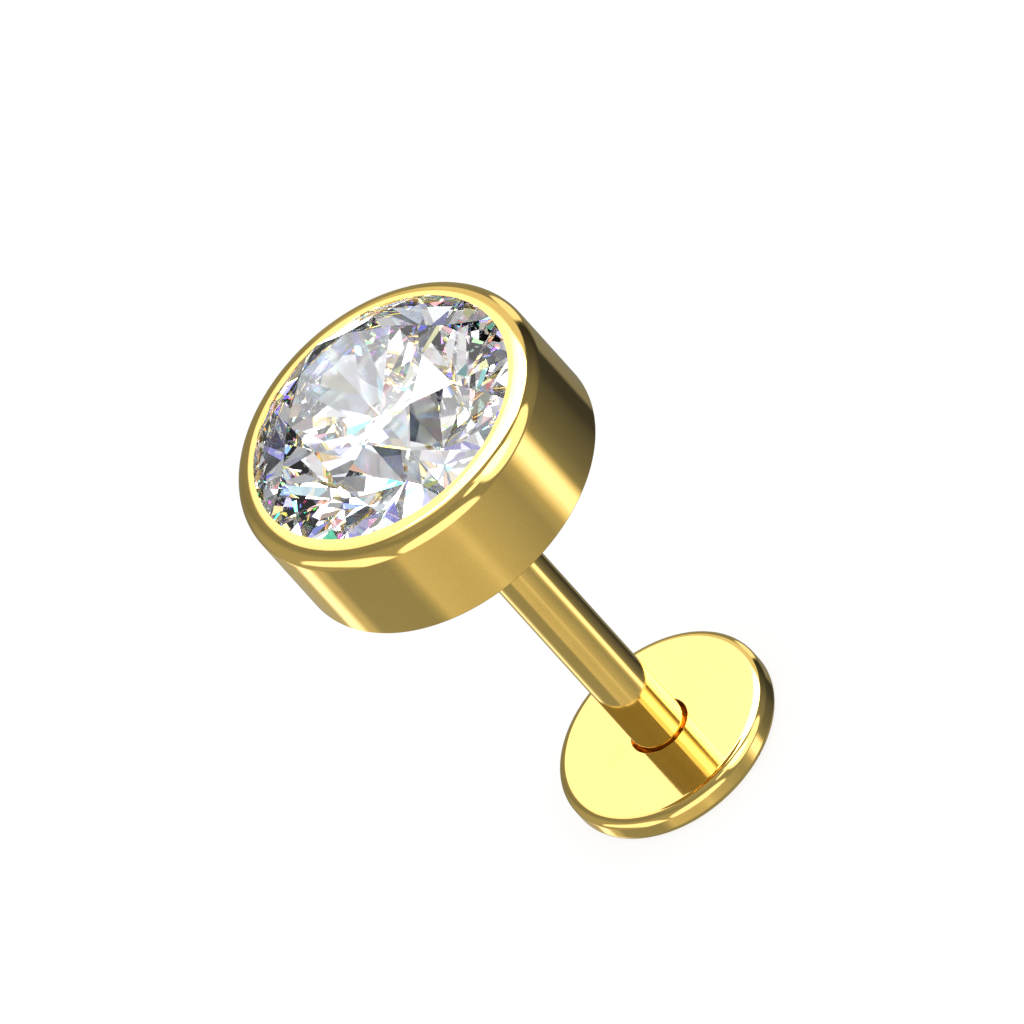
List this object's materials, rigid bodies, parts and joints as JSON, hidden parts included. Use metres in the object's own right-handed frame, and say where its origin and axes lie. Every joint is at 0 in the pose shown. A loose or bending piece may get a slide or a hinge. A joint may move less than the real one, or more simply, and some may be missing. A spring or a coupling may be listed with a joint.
{
  "type": "labret stud",
  "caption": "Round stone in a gold rub-over cup, on a push-fit pin that closes a hollow post with a flat disc back.",
  "frame": {"origin": "centre of the disc's flat underside, on the post's axis", "axes": "+Z along the post from the disc to the stone; +X to the right and +Y away when the stud stands on its disc"},
  "size_m": [0.0058, 0.0058, 0.0106],
  "materials": {
    "back_gold": "polished yellow gold",
    "cup_gold": "polished yellow gold",
    "stone": "clear faceted stone, polished"
  },
  "bodies": {
    "back": {"labret_back": "back_gold"},
    "head": {"bezel_cup": "cup_gold", "stone": "stone"}
  },
  "joints": [
    {"name": "head_pull", "type": "slide", "parent": "back", "child": "head", "axis": [0, 0, 1], "range_m": [0, 0.014]}
  ]
}
